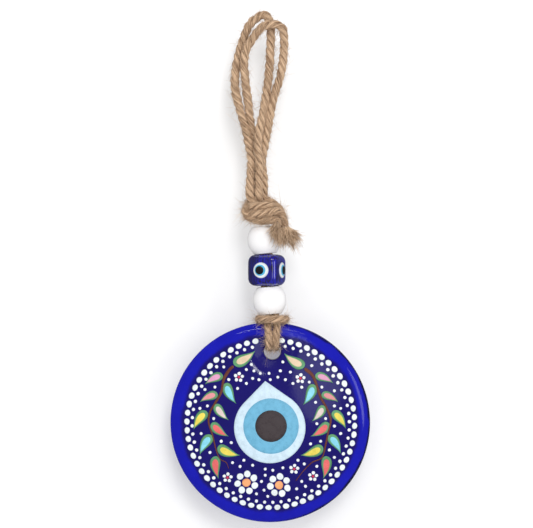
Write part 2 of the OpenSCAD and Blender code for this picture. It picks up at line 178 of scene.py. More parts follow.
class Shader:
    """A material's nodes, made and joined by short calls."""

    def __init__(self, name):
        self.material = bpy.data.materials.new(name)
        self.material.use_nodes = True
        self.nodes = self.material.node_tree.nodes
        self.links = self.material.node_tree.links
        self.surface = self.nodes["Principled BSDF"]

    def add(self, kind, inputs=None, **settings):
        node = self.nodes.new(kind)
        for key, value in settings.items():
            setattr(node, key, value)
        for key, value in (inputs or {}).items():
            self.put(node.inputs[key], value)
        return node

    def put(self, socket, value):
        if isinstance(value, bpy.types.NodeSocket):
            self.links.new(value, socket)
        else:
            socket.default_value = value

    def set(self, **values):
        """Sets or links the surface's own sockets, with _ for a space in their names."""
        for key, value in values.items():
            self.put(self.surface.inputs[key.replace("_", " ")], value)

    def place(self):
        return self.add("ShaderNodeTexCoord").outputs["Object"]

    def attribute(self, name, output="Fac"):
        return self.add("ShaderNodeAttribute", attribute_name=name).outputs[output]

    def stretched(self, vector, scale):
        return self.add("ShaderNodeMapping", {"Vector": vector, "Scale": scale}).outputs["Vector"]

    def noise(self, vector, scale, detail=3.0, roughness=0.5):
        inputs = {"Vector": vector, "Scale": scale, "Detail": detail, "Roughness": roughness}
        return self.add("ShaderNodeTexNoise", inputs).outputs["Fac"]

    def span(self, value, low, high, to_low=0.0, to_high=1.0):
        inputs = {"Value": value, "From Min": low, "From Max": high, "To Min": to_low, "To Max": to_high}
        return self.add("ShaderNodeMapRange", inputs, interpolation_type="SMOOTHSTEP").outputs["Result"]

    def math(self, operation, a, b=0.0):
        return self.add("ShaderNodeMath", {0: a, 1: b}, operation=operation).outputs[0]

    def mix(self, share, a, b, blend_type="MIX"):
        node = self.add("ShaderNodeMix", data_type="RGBA", blend_type=blend_type)
        self.put(node.inputs["Factor"], share)
        for socket, value in ((node.inputs[6], a), (node.inputs[7], b)):
            self.put(socket, (*value, 1) if isinstance(value, tuple) and len(value) == 3 else value)
        return node.outputs[2]

    def bump(self, height, distance, strength=1.0):
        inputs = {"Height": height, "Distance": distance, "Strength": strength}
        self.set(Normal=self.add("ShaderNodeBump", inputs).outputs["Normal"])


# ---- jute twine ----

TWINE_D = 0.0032
TIGHT_D = 0.0029
SWELL = 1.09               # an open strand fluffs out past its own diameter
PLIES = 3
PLY_SIDES = 16
LAY = -0.0095              # a ply goes once round the twine in this length, left-handed
FIBRE_TWIST = 0.55         # turns that a ply's own fibres make back in that length
PLY_SHARE = 0.57           # a ply's radius, as a share of the twine's
PLY_OFFSET = 0.45          # and how far off the twine's middle it lies
RING_STEP = 0.00035
GIRTH_VARIES = 0.035       # the twine's radius grows and shrinks by this share
GIRTH_REACH = 0.006        # over about this length
RIDGE_HEIGHT = 0.12        # a ply's fibre bundles stand proud by this share of its radius
RIDGE_REACH = 0.0022       # and change over about this length
LANE_R = 0.0009            # the fibres' streaks are laid out round a circle of this radius
GROOVE_AT = 0.62           # the share of the twine's radius where the grooves between plies end
CROWN_RISE = 0.4           # and how much farther out the crowns are

HAIRS = 2600               # loose fibres on a twine
KNOT_HAIRS = 1300          # and more on each strand's turns round the knot
HAIR_RINGS = 6
HAIR_SIDES = 3
# A crown share past the grooves' end keeps a loose fibre clear of the painted groove shade.
HAIR_CROWN = 0.8           # a loose fibre is coloured almost as a crown
LOCKS = 26                 # locks of fibres in a frayed end

# The first colour is painted shade, laid in the grooves between plies.
GROOVE_SHADE_JUTE = (0.085, 0.042, 0.02)
MIDDLE_JUTE = (0.22, 0.125, 0.068)
PALE_JUTE = (0.70, 0.49, 0.32)
# Loose fibres are coloured paler than the laid twine: painted light that offsets the shade they cast on one
# another.
HAIR_MIDDLE = (0.28, 0.16, 0.09)
HAIR_PALE = (0.90, 0.67, 0.45)


def jute_material(name, middle, pale):
    """Plant fibre: streaks along the lay, and painted shade in the grooves between plies, so the crowns look
    paler.
    """
    s = Shader(name)
    fibre = s.attribute("fibre", "Vector")
    streaks = s.noise(s.stretched(fibre, (5200, 5200, 260)), 1.0, 4.0, 0.6)
    patches = s.noise(s.stretched(fibre, (700, 700, 170)), 1.0, 2.0)
    tone = s.math("ADD", s.span(streaks, 0.36, 0.64), s.span(patches, 0.2, 0.8, -0.25, 0.25))
    # Painted shade: points low in the grooves between plies take the groove shade colour.
    groove_shade = s.span(s.attribute("crown"), 0.05, 0.75)
    s.set(Base_Color=s.mix(groove_shade, GROOVE_SHADE_JUTE, s.mix(tone, middle, pale)))
    s.set(Roughness=s.span(streaks, 0.3, 0.7, 0.62, 0.85))
    s.set(Specular_IOR_Level=0.3, Sheen_Weight=0.15, Sheen_Roughness=0.5)
    s.bump(streaks, 0.00012, 0.7)
    return s.material


JUTE = jute_material("jute", MIDDLE_JUTE, PALE_JUTE)
JUTE_HAIR_LIGHTENED = jute_material("jute_hair_lightened", HAIR_MIDDLE, HAIR_PALE)


def laid_twine(name, line, radius, seed):
    """Twine of three plies laid round a line, each ply a bundle of ridged fibres."""
    random = np.random.default_rng(seed)
    _, across, beside = frames_along(line)
    along = distance_along(line)
    radius = radius * (1 + GIRTH_VARIES * wander(random, along, GIRTH_REACH)[:, 0])
    sets, crowns, fibres, faces = [], [], [], []
    for ply in range(PLIES):
        turn = TURN * (ply / PLIES + along / LAY)
        outward = turned(turn, across, beside)
        middle = line + (PLY_OFFSET * radius)[:, None] * outward
        ply_ahead = unit(np.gradient(middle, axis=0))
        first = unit(outward - (outward * ply_ahead).sum(1)[:, None] * ply_ahead)
        second = np.cross(ply_ahead, first)
        lane = TURN * np.arange(PLY_SIDES) / PLY_SIDES
        angle = lane[None, :] - TURN * FIBRE_TWIST * along[:, None] / LAY
        ridges = wander(random, along, RIDGE_REACH, PLY_SIDES)
        reach = (PLY_SHARE * radius)[:, None] * (1 + RIDGE_HEIGHT * ridges)
        ring = middle[:, None] + reach[..., None] * turned(angle, first[:, None], second[:, None])
        from_middle = np.linalg.norm(ring - line[:, None], axis=2) / radius[:, None]
        lanes = np.stack(np.broadcast_arrays(
            LANE_R * np.cos(lane)[None, :], LANE_R * np.sin(lane)[None, :], along[:, None] + 0.37 * ply
        ), -1)
        faces.append(grid_faces(len(line), PLY_SIDES) + ply * ring[..., 0].size)
        sets.append(ring.reshape(-1, 3))
        # The crown share sets how much painted groove shade each point gets.
        crowns.append(np.clip((from_middle - GROOVE_AT) / CROWN_RISE, 0, 1).ravel())
        fibres.append(lanes.reshape(-1, 3))
    points, crown, fibre = np.vstack(sets), np.concatenate(crowns), np.vstack(fibres)
    return close_ends(new_piece(name, points, np.vstack(faces), JUTE, crown=crown, fibre=fibre))


def close_ends(piece):
    """Fills the open ends of a mesh."""
    work = bmesh.new()
    work.from_mesh(piece.data)
    edges = [edge for edge in work.edges if edge.is_boundary]
    bmesh.ops.holes_fill(work, edges=edges, sides=0)
    bmesh.ops.recalc_face_normals(work, faces=work.faces)
    work.to_mesh(piece.data)
    work.free()
    return piece


def strands(name, starts, headings, curls, lengths, widths, seed):
    """Thin tapered fibres, each a curved line from its start."""
    random = np.random.default_rng(seed)
    t = np.linspace(0, 1, HAIR_RINGS)[None, :, None]
    line = starts[:, None] + lengths[:, None, None] * (headings[:, None] * t + curls[:, None] * t * t)
    ahead = unit(np.gradient(line, axis=1))
    across = unit(np.cross(ahead, unit(random.normal(size=starts.shape))[:, None]))
    beside = np.cross(ahead, across)
    turn = TURN * np.arange(HAIR_SIDES) / HAIR_SIDES
    reach = (widths[:, None] / 2 * (1 - 0.75 * t[..., 0]))[..., None]
    ring = line[:, :, None] + reach[..., None] * turned(turn, across[:, :, None], beside[:, :, None])
    size = HAIR_RINGS * HAIR_SIDES
    root, tip = list(range(HAIR_SIDES))[::-1], list(range(size - HAIR_SIDES, size))
    one = [*grid_faces(HAIR_RINGS, HAIR_SIDES).tolist(), root, tip]
    faces = [[i + k * size for i in face] for k in range(len(starts)) for face in one]
    crown = np.full(ring[..., 0].size, HAIR_CROWN)
    own = random.uniform(-1, 1, len(starts))[:, None, None]
    along = t * lengths[:, None, None] + np.zeros(HAIR_SIDES)
    fibre = np.stack(np.broadcast_arrays(own, 0, along), -1).reshape(-1, 3)
    return new_piece(name, ring.reshape(-1, 3), faces, JUTE_HAIR_LIGHTENED, crown=crown, fibre=fibre)


def fuzz(name, line, radius, count, seed):
    """Loose fibres that stand and lie all over a twine."""
    random = np.random.default_rng(seed)
    ahead, across, beside = frames_along(line)
    at = random.integers(2, len(line) - 2, count)
    angle = random.uniform(0, TURN, count)
    outward = turned(angle, across[at], beside[at])
    starts = line[at] + radius * random.uniform(0.82, 1.0, count)[:, None] * outward
    way = random.choice([-1.0, 1.0], count)[:, None]
    lift = random.uniform(0.05, 1.0, count)[:, None] ** 1.7
    headings = unit(way * ahead[at] + lift * outward + 0.35 * random.normal(size=(count, 3)))
    curls = 0.45 * random.normal(size=(count, 3)) - 0.25 * lift * outward
    lengths = 0.0012 + 0.0038 * random.uniform(0, 1, count) ** 2.5
    widths = random.uniform(0.00006, 0.00014, count)
    return strands(name, starts, headings, curls, lengths, widths, seed + 1)


def frayed_end(name, start, end, spread, count, seed):
    """The opened end of a twine: locks of fibres that fan out to a rounded brush."""
    random = np.random.default_rng(seed)
    start, end = np.array(start), np.array(end)
    axis = unit(end - start)
    side = unit(np.cross(axis, (0, 1, 0)))
    other = np.cross(axis, side)
    lock = random.integers(0, LOCKS, count)
    angle = random.uniform(0, TURN, LOCKS)[lock] + 0.2 * random.normal(size=count)
    share = np.sqrt(random.uniform(0, 1, LOCKS))[lock] * random.uniform(0.75, 1.1, count)
    outward = turned(angle, side, other)
    starts = start + TWINE_D * 0.42 * share[:, None] * outward
    headings = unit(axis + spread * share[:, None] * outward + 0.07 * random.normal(size=(count, 3)))
    curls = 0.22 * random.normal(size=(LOCKS, 3))[lock] + 0.12 * random.normal(size=(count, 3))
    curls -= 0.35 * spread * share[:, None] * outward
    reach = (1 - 0.18 * share**2) * random.uniform(0.45, 1.0, count) ** 0.35
    lengths = np.linalg.norm(end - start) * reach
    widths = random.uniform(0.00018, 0.0004, count)
    return strands(name, starts, headings, curls, lengths, widths, seed + 1)


# The two strands of the loop, which repeat the CAD model's own routes. The turns round the knot
# further on are laid for this scene, over the CAD knot's plain shape.
OUTER_ROUTE = [
    (-0.0075, -0.001, -0.0665), (-0.0075, -0.001, -0.059), (-0.007, -0.001, -0.052),
    (-0.008, 0, -0.0455), (-0.0095, 0, -0.039), (-0.0115, 0, -0.032), (-0.0135, 0, -0.024),
    (-0.0135, 0.0005, -0.017), (-0.0125, 0.001, -0.011), (-0.0105, 0.001, -0.004),
    (-0.008, 0.0005, 0.002), (-0.0045, 0.001, 0.0055), (-0.002, 0.0015, 0.0065),
    (0, 0.0015, 0.0045), (0.0007, 0.0015, 0), (0.0005, 0.001, -0.008), (0, 0, -0.017),
    (-0.001, 0, -0.025), (-0.0025, -0.0005, -0.034), (-0.0045, -0.0015, -0.044),
    (-0.004, -0.002, -0.052), (-0.004, -0.001, -0.059), (-0.004, -0.001, -0.0665),
]
INNER_ROUTE = [
    (-0.0057, 0.002, -0.0665), (-0.0057, 0.002, -0.059), (-0.006, 0.0022, -0.052),
    (-0.0065, 0.0015, -0.044), (-0.0075, 0.0005, -0.036), (-0.0085, 0, -0.028),
    (-0.0095, 0, -0.02), (-0.01, -0.001, -0.0125), (-0.009, -0.001, -0.0075),
    (-0.0065, -0.0015, -0.0035), (-0.004, -0.0015, 0), (-0.001, -0.002, 0.002),
    (0.002, -0.002, 0.0022), (0.005, -0.0015, 0.001), (0.006, -0.001, -0.003),
    (0.0057, 0, -0.011), (0.0043, 0, -0.019), (0.0017, 0, -0.0275), (0, 0.0005, -0.036),
    (-0.0015, 0.001, -0.044), (-0.0028, 0.0012, -0.052), (-0.0022, 0.0016, -0.059),
    (-0.0022, 0.0016, -0.0665),
]
# Inside the knot, from its middle up to the neck of the loop.
OUTER_RISE = [(-0.0045, -0.001, -0.0745), (-0.0055, -0.001, -0.0705)]
INNER_RISE = [(-0.0035, 0.0015, -0.0745), (-0.0045, 0.0015, -0.0705)]
# On from the neck, round the knot: down its left side and along the bottom to the small
# frayed end.
OUTER_WRAP = [
    (-0.0038, 0.0005, -0.0688), (-0.0045, 0.0034, -0.0694), (-0.0072, 0.0024, -0.0692),
    (-0.0083, -0.0006, -0.0702), (-0.0091, -0.0024, -0.0720), (-0.0088, -0.0034, -0.0738),
    (-0.0066, -0.0042, -0.0752), (-0.0030, -0.0048, -0.0760), (0.0006, -0.0052, -0.0759),
    (0.0032, -0.0054, -0.0762), (0.0034, -0.0060, -0.0780),
]
# The other strand: an arc down the right, twice round the back and across the front, then
# down to the large frayed end.
INNER_WRAP = [
    (-0.0014, 0.0018, -0.0676), (0.0009, 0.0016, -0.0688), (0.0032, 0.0006, -0.0706),
    (0.0046, -0.0002, -0.0730), (0.0038, 0.0024, -0.0748), (-0.0010, 0.0044, -0.0735),
    (-0.0058, 0.0036, -0.0716), (-0.0078, 0.0002, -0.0708), (-0.0064, -0.0040, -0.0708),
    (-0.0022, -0.0054, -0.0704), (0.0014, -0.0046, -0.0710), (0.0030, -0.0014, -0.0728),
    (0.0020, 0.0022, -0.0742), (-0.0030, 0.0036, -0.0746), (-0.0072, 0.0018, -0.0740),
    (-0.0082, -0.0016, -0.0736), (-0.0058, -0.0052, -0.0736), (-0.0014, -0.0064, -0.0732),
    (0.0026, -0.0056, -0.0726), (0.0050, -0.0042, -0.0738), (0.0058, -0.0040, -0.0764),
    (0.0061, -0.0042, -0.0798),
]


def hitch_route():
    """Down out of the lower bead, round the disc by way of its hole and back up: a lark's head.

    It keeps close to the CAD model's hitch, with its two legs nearer to each other.
    """
    middle = 0.00135
    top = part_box("glass_disc")[1].z
    half = [
        (0.0015, 0, 0.0026), (0.0017, -0.0008, 0.001), (0.0018, -0.0022, -0.0015),
        (0.0016, -0.0036, -0.004), (0.0013, -0.0045, -0.0065), (0.0012, -0.0038, -0.0088),
        (0.0012, -0.001, -0.0098), (0.0013, 0.002, -0.0098), (0.0017, 0.0046, -0.009),
        (0.0025, 0.005, -0.006), (0.0036, 0.005, -0.0025), (0.0048, 0.0038, 0),
        (0.0054, 0.001, 0.0014), (0.0052, -0.0016, 0.0014), (0.0034, -0.0043, 0.0015),
    ]
    right = [(middle + x, y, top + z) for x, y, z in half]
    left = [(middle - x, y, top + z) for x, y, z in half]
    return left + [(middle, -0.0049, top + 0.0015)] + right[::-1]


def bead_axis():
    """A point on the beaded stretch's middle line and the direction up along it."""
    joint = next(j for j in frame["joints"] if j["name"] == "upper_bead_spin")
    return Vector(joint["pos_m"]), Vector(joint["axis"]).normalized()


def pendant_route():
    """Both strands through the beads, with the hitch between them."""
    swing, up = bead_axis()
    side = Vector((up.z, 0, -up.x)) * TIGHT_D / 2
    places = [swing - up * d for d in (0.0005, 0.0115, 0.0225, 0.0325)]
    left = [tuple(p - side) for p in places]
    right = [tuple(p + side) for p in places]
    return left + hitch_route() + right[::-1]


# The stretches of twine that take up the twist of the neck and the tilt of the disc.
BEADS_END_Z = -0.1135      # above this the pendant twine is out of sight in the beads


def add_loop_twine(name, rise, route, wrap, far_end, nodes, seed):
    """One strand from inside the knot, up, over the loop and round the knot to its frayed end."""
    line = smooth_line(rise + route + wrap, RING_STEP)
    knot_line = smooth_line(wrap, RING_STEP)
    radius = SWELL * TWINE_D / 2
    twine = laid_twine(name, line, radius, seed)
    hairs = fuzz(name + "_fuzz", line, radius, HAIRS, seed + 10)
    knot_hairs = fuzz(name + "_knot_fuzz", knot_line, radius, KNOT_HAIRS, seed + 20)
    for piece in (twine, hairs):
        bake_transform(piece)
    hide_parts(*nodes)
    for piece in (knot_hairs, far_end):
        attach(piece, "knot")


def add_pendant_twine():
    """Down through the beads, round the disc by way of its hole and back up."""
    line = smooth_line(pendant_route(), RING_STEP)
    twine = laid_twine("pendant_twine", line, TIGHT_D / 2, 31)
    open_part = line[line[:, 2] < BEADS_END_Z]
    hairs = fuzz("pendant_twine_fuzz", open_part, TIGHT_D / 2, HAIRS, 41)
    for piece in (twine, hairs):
        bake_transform(piece)
    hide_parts("string_left", "string_right", "hitch_cord")


front_fray = frayed_end(
    "frayed_end_front", (0.0033, -0.0062, -0.0775), (0.0016, -0.0100, -0.0838), spread=0.3, count=200, seed=51
)
side_fray = frayed_end(
    "frayed_end_side", (0.0061, -0.0050, -0.0788), (0.0085, -0.0068, -0.0874), spread=0.85, count=760, seed=61
)
add_loop_twine("loop_twine_outer", OUTER_RISE, OUTER_ROUTE, OUTER_WRAP, front_fray,
               ["loop_strand_outer", "knot", "tail_front"], 11)
add_loop_twine("loop_twine_inner", INNER_RISE, INNER_ROUTE, INNER_WRAP, side_fray,
               ["loop_strand_inner", "tail_side"], 12)
add_pendant_twine()


# ---- the disc's own frame ----

DISC_LOW, DISC_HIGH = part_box("glass_disc")
DISC_R = (DISC_HIGH.x - DISC_LOW.x) / 2
DISC_T = DISC_HIGH.y - DISC_LOW.y
DISC_MIDDLE = (DISC_LOW + DISC_HIGH) / 2
BACK_Y = DISC_HIGH.y
DOME_R = 0.0335            # the domed middle of the front
DOME_FALL = 0.0021         # and how far it falls to its edge
DOME_BALL_R = (DOME_R**2 + DOME_FALL**2) / (2 * DOME_FALL)
RIM_H = 0.0023             # the rim is widest at this height above the back
HOLE_AT = np.array((0.00085, 0.0286))
HOLE_R = 0.0034
DENT_DEPTH = 0.0005        # the glass sinks in round the hole
DENT_REACH = 0.0032


def bezier(a, b, c, d, steps):
    t = np.linspace(0, 1, steps + 1)[:, None]
    s = 1 - t
    return s**3 * a + 3 * s * s * t * b + 3 * s * t * t * c + t**3 * d


def dome_height(r):
    return DISC_T - DOME_BALL_R + np.sqrt(DOME_BALL_R**2 - r**2)


EDGE_H = float(dome_height(DOME_R))
SHOULDER = np.array((DISC_R - 0.0035, EDGE_H - 0.0007))
FRONT_EDGE = bezier(
    np.array((DOME_R, EDGE_H)), SHOULDER, np.array((DISC_R, 2 * RIM_H)), np.array((DISC_R, RIM_H)), 60
)
BACK_FLAT_R = DISC_R - 0.0016
BACK_EDGE = bezier(
    np.array((DISC_R, RIM_H)), np.array((DISC_R, RIM_H / 2)), np.array((DISC_R - 0.0004, 0)),
    np.array((BACK_FLAT_R, 0)), 20
)


def front_height(at):
    """Height of the glass above the disc's back at places in its plane, with the dent at the hole."""
    r = np.linalg.norm(at, axis=-1)
    bevel = np.interp(r, FRONT_EDGE[:, 0], FRONT_EDGE[:, 1])
    height = np.where(r < DOME_R, dome_height(np.minimum(r, DOME_R)), bevel)
    from_hole = np.linalg.norm(at - HOLE_AT, axis=-1) - HOLE_R
    return height - DENT_DEPTH * np.exp(-((np.maximum(from_hole, 0) / DENT_REACH) ** 2))


def on_disc(at, height):
    """Points in the scene from places in the disc's plane and heights above its back."""
    at, height = np.broadcast_arrays(at, np.asarray(height)[..., None])
    return np.stack([DISC_MIDDLE.x + at[..., 0], BACK_Y - height[..., 0], DISC_MIDDLE.z + at[..., 1]], -1)


# ---- glass disc ----

DISC_SIDES = 256
LIP = 0.0009               # radius of the hole's rounded mouths


def glass_material():
    """Cobalt glass: a deep middle, a bright margin and painted shade along the edge on the right."""
    s = Shader("cobalt_glass")
    place = s.place()
    centre = s.add("ShaderNodeVectorMath", {0: place, 1: tuple(DISC_MIDDLE)}, operation="SUBTRACT")
    flat = s.add("ShaderNodeVectorMath", {0: centre.outputs[0], 1: (1, 0, 1)}, operation="MULTIPLY")
    radius = s.add("ShaderNodeVectorMath", {0: flat.outputs[0]}, operation="LENGTH").outputs["Value"]
    cloud = s.noise(place, 130.0, 3.0)
    wobble = s.math("ADD", radius, s.span(cloud, 0.3, 0.7, -0.0004, 0.0004))
    margin = s.span(wobble, 0.0344, 0.0362)
    deep = s.mix(cloud, (0.010, 0.007, 0.13), (0.016, 0.011, 0.19))
    bright = s.mix(cloud, (0.008, 0.009, 0.40), (0.014, 0.016, 0.56))
    body = s.mix(margin, deep, bright)
    painted_shade_x = s.add("ShaderNodeSeparateXYZ", {0: centre.outputs[0]}).outputs[0]
    # Painted shade: a dark band along the rim that grows towards the disc's right side.
    edge = s.math("MULTIPLY", s.span(wobble, 0.0388, 0.0396), s.span(painted_shade_x, -0.01, 0.03))
    s.set(Base_Color=s.mix(edge, body, (0.004, 0.003, 0.05)))
    specks = s.noise(place, 900.0, 2.0)
    s.set(Roughness=s.span(specks, 0.45, 0.7, 0.07, 0.11))
    s.set(IOR=1.5, Specular_IOR_Level=0.2, Transmission_Weight=0.25)
    s.bump(s.noise(place, 60.0, 1.0), 0.00015, 0.25)
    return s.material


def add_disc():
    """The domed glass, made of circles from the front of its hole, over the edge, to its back."""
    turn = TURN * np.arange(DISC_SIDES) / DISC_SIDES
    way = np.stack([np.cos(turn), np.sin(turn)], -1)
    rows = []

    def lip_rows(surface, outward):
        """The rounded mouth of the hole, from its wall out to the face."""
        for angle in np.linspace(0, math.pi / 2, 8):
            r = HOLE_R + LIP * (1 - math.cos(angle))
            at = HOLE_AT + r * way
            rows.append(on_disc(at, surface(at) - outward * LIP * (1 - math.sin(angle))))

    def face_rows(surface, edge_r, count):
        """Circles that grow from the hole's to the disc's edge, closer together near the edge."""
        for k in range(1, count + 1):
            share = 1 - (1 - k / count) ** 2
            at = HOLE_AT * (1 - share) + (HOLE_R + LIP + (edge_r - HOLE_R - LIP) * share) * way
            rows.append(on_disc(at, surface(at)))

    lip_rows(front_height, 1)
    shallow = FRONT_EDGE[FRONT_EDGE[:, 0] < DISC_R - 0.0012]
    face_rows(front_height, shallow[-1][0], 110)
    for r, height in np.vstack([FRONT_EDGE[len(shallow):], BACK_EDGE[1:]]):
        rows.append(on_disc(r * way, np.full(DISC_SIDES, height)))
    front_count = len(rows)
    lip_rows(lambda at: np.zeros(len(at)), -1)
    face_rows(lambda at: np.zeros(len(at)), BACK_FLAT_R, 30)
    rows = rows[:front_count] + rows[front_count:-1][::-1]
    points = np.array(rows).reshape(-1, 3)
    disc = new_piece("glass_disc_body", points, grid_faces(len(rows), DISC_SIDES, True), glass_material())
    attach(turn_outward(disc), "disc")
    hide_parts("glass_disc")


add_disc()


# ---- enamel on the disc ----

SINK = 0.0001              # every patch starts this far inside what it lies on
BEND_STEPS = 5             # rings in a patch's rounded edge
CIRCLE = TURN * np.arange(48) / 48


def polar(radius, angle):
    return np.asarray(radius)[..., None] * np.stack([np.cos(angle), np.sin(angle)], -1)


def on_front(at, lift):
    return on_disc(at, front_height(at) + lift)


def cad_islands(node):
    """The separate solids of a CAD node, each as places in the disc's plane."""
    work = bmesh.new()
    work.from_mesh(frame["nodes"][node].data)
    work.transform(frame["nodes"][node].matrix_world)
    bmesh.ops.remove_doubles(work, verts=work.verts, dist=1e-6)
    left, islands = set(work.verts), []
    while left:
        queue, island = [left.pop()], []
        while queue:
            vert = queue.pop()
            island.append((vert.co.x - DISC_MIDDLE.x, vert.co.z - DISC_MIDDLE.z))
            beside = {edge.other_vert(vert) for edge in vert.link_edges} & left
            left -= beside
            queue += beside
        islands.append(np.array(island))
    work.free()
    return sorted(islands, key=lambda island: tuple(island.mean(0).round(6)))


def middle_and_reach(island):
    low, high = island.min(0), island.max(0)
    return (low + high) / 2, (high - low).mean() / 2


def patch(edge, middle, lift, place=on_front, rim=0.3, hollow=False, along=None):
    """A raised patch that rounds up from its edge and runs in to its middle points.

    A hollow one comes down again at an inner edge. Gives its points, faces, and for each point
    the share of the way in and the place along the patch.
    """
    bend = np.linspace(0, math.pi / 2, BEND_STEPS)
    rise, heights = rim * (1 - np.cos(bend)), lift * np.sin(bend)
    flat = np.linspace(rim, 1 - rim if hollow else 1, 8)[1:]
    shares = np.concatenate([[0], rise, flat])
    heights = np.concatenate([[-SINK], heights, np.full(len(flat), lift)])
    if hollow:
        shares = np.concatenate([shares, 1 - shares[BEND_STEPS - 1::-1]])
        heights = np.concatenate([heights, heights[BEND_STEPS - 1::-1]])
    at = edge * (1 - shares[:, None, None]) + middle * shares[:, None, None]
    points = place(at, heights[:, None]).reshape(-1, 3)
    share = np.repeat(shares, len(edge))
    along = np.tile(np.zeros(len(edge)) if along is None else along, len(shares))
    return points, grid_faces(len(shares), len(edge), hollow), share, along


def add_enamel(name, patches, material, slot, body, *nodes):
    """One piece made of many patches. Each patch has a tone of its own."""
    random = np.random.default_rng(len(name))
    sizes = [len(points) for points, *_ in patches]
    starts = np.concatenate([[0], np.cumsum(sizes)[:-1]])
    faces = np.vstack([one[1] + start for one, start in zip(patches, starts)])
    tone = np.repeat(random.uniform(-1, 1, len(patches)), sizes)
    share = np.concatenate([one[2] for one in patches])
    along = np.concatenate([one[3] for one in patches])
    points = np.vstack([one[0] for one in patches])
    piece = new_piece(name, points, faces, material, share=share, along=along, tone=tone)
    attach(close_ends(turn_outward(piece)), body)
    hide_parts(*nodes)


def enamel_material(name, colour, depth=0.8, tip_colour=None, marked=False, roughness=(0.22, 0.4)):
    """Fired enamel: thinner and deeper in colour at its edge, a little uneven and satin bright."""
    s = Shader(name)
    place = s.place()
    cloud = s.noise(place, 420.0, 3.0)
    grain = s.noise(place, 2600.0, 2.0)
    deep = tuple(depth * c for c in colour)
    if tip_colour:
        colour = s.mix(s.span(s.attribute("along"), 0.72, 0.97), colour, tip_colour)
    body = s.mix(s.span(s.attribute("share"), 0.0, 0.3), deep, colour)
    uneven = s.math("ADD", s.span(cloud, 0.25, 0.75, 0.86, 1.02), s.span(grain, 0.3, 0.7, -0.03, 0.03))
    if marked:
        oval = s.math("ABSOLUTE", s.math("SUBTRACT", s.attribute("share"), 0.62))
        uneven = s.math("MULTIPLY", uneven, s.span(oval, 0.03, 0.16, 0.88, 1.0))
    own = s.math("MULTIPLY", uneven, s.span(s.attribute("tone"), -1.0, 1.0, 0.93, 1.02))
    s.set(Base_Color=s.mix(1.0, body, own, "MULTIPLY"))
    s.set(Roughness=s.span(cloud, 0.3, 0.7, *roughness))
    s.set(IOR=1.5)
    s.bump(s.math("ADD", cloud, s.math("MULTIPLY", grain, 0.3)), 0.00003, 0.5)
    return s.material


def dot_patches(node, lift, stretch, rim):
    """Painted dots where the CAD has them, none quite round. Stretch is along and across a ring."""
    random = np.random.default_rng(len(node))
    patches = []
    for island in cad_islands(node):
        middle, radius = middle_and_reach(island)
        waves = random.uniform(0, TURN, 2)
        reach = radius * random.uniform(0.96, 1.04) * (
            1 + 0.03 * np.cos(2 * CIRCLE + waves[0]) + 0.02 * np.cos(3 * CIRCLE + waves[1])
        )
        out = unit(middle)
        beside = np.array((-out[1], out[0]))
        flat = polar(reach, CIRCLE) * stretch
        edge = middle + flat[:, :1] * beside + flat[:, 1:] * out
        patches.append(patch(edge, middle, lift, rim=rim))
    return patches


def add_dot_enamel():
    """Every painted dot and petal: the white ones, and the coloured middles of the flowers."""
    white = enamel_material("white_enamel", (0.90, 0.94, 0.97), 0.8)
    ringed = enamel_material("white_enamel_ringed", (0.88, 0.95, 0.97), 0.75, marked=True)
    crimson = enamel_material("crimson_enamel", (0.62, 0.03, 0.10))
    orange = enamel_material("orange_enamel", (0.93, 0.40, 0.17))
    round_dot = (1.0, 1.0)
    for name, node, material, slot, lift, stretch, rim in (
        ("rim_dot_enamel", "rim_dots", ringed, "white_enamel", 0.00028, (1.08, 0.9), 0.45),
        ("large_petal_enamel", "large_petals", ringed, "white_enamel", 0.00025, (0.97, 1.03), 0.45),
        ("inner_dot_enamel", "inner_dots", white, "white_enamel", 0.00022, round_dot, 0.45),
        ("loose_dot_enamel", "loose_dots", white, "white_enamel", 0.00022, round_dot, 0.45),
        ("small_petal_enamel", "small_petals", white, "white_enamel", 0.00022, round_dot, 0.45),
        ("small_centre_enamel", "small_flower_centres", crimson, "crimson_enamel", 0.00024, round_dot, 0.45),
        ("large_centre_enamel", "large_flower_centres", orange, "orange_enamel", 0.00022, round_dot, 0.2),
    ):
        add_enamel(name, dot_patches(node, lift, stretch, rim), material, slot, "disc", node)


# ---- the eye ----

EYE_SIDES = 160


def drop_outline(steps=48):
    """The drop's two straight sides from its tip and the arc that they run into."""
    corners = np.vstack(cad_islands("eye_drop"))
    tip = corners[corners[:, 1].argmax()]
    radius = (corners[:, 0].max() - corners[:, 0].min()) / 2
    middle = np.array((corners[:, 0].min() + radius, corners[:, 1].min() + radius))
    heading = math.atan2(*(tip - middle)[::-1])
    spread = math.acos(radius / np.linalg.norm(tip - middle))
    arc = middle + polar(radius, heading + np.linspace(spread, TURN - spread, 3 * steps))
    share = np.linspace(0, 1, steps, endpoint=False)[:, None]
    down = tip * (1 - share) + arc[0] * share
    up = arc[-1] * (1 - share) + tip * share
    return np.vstack([down, arc, up[1:]])


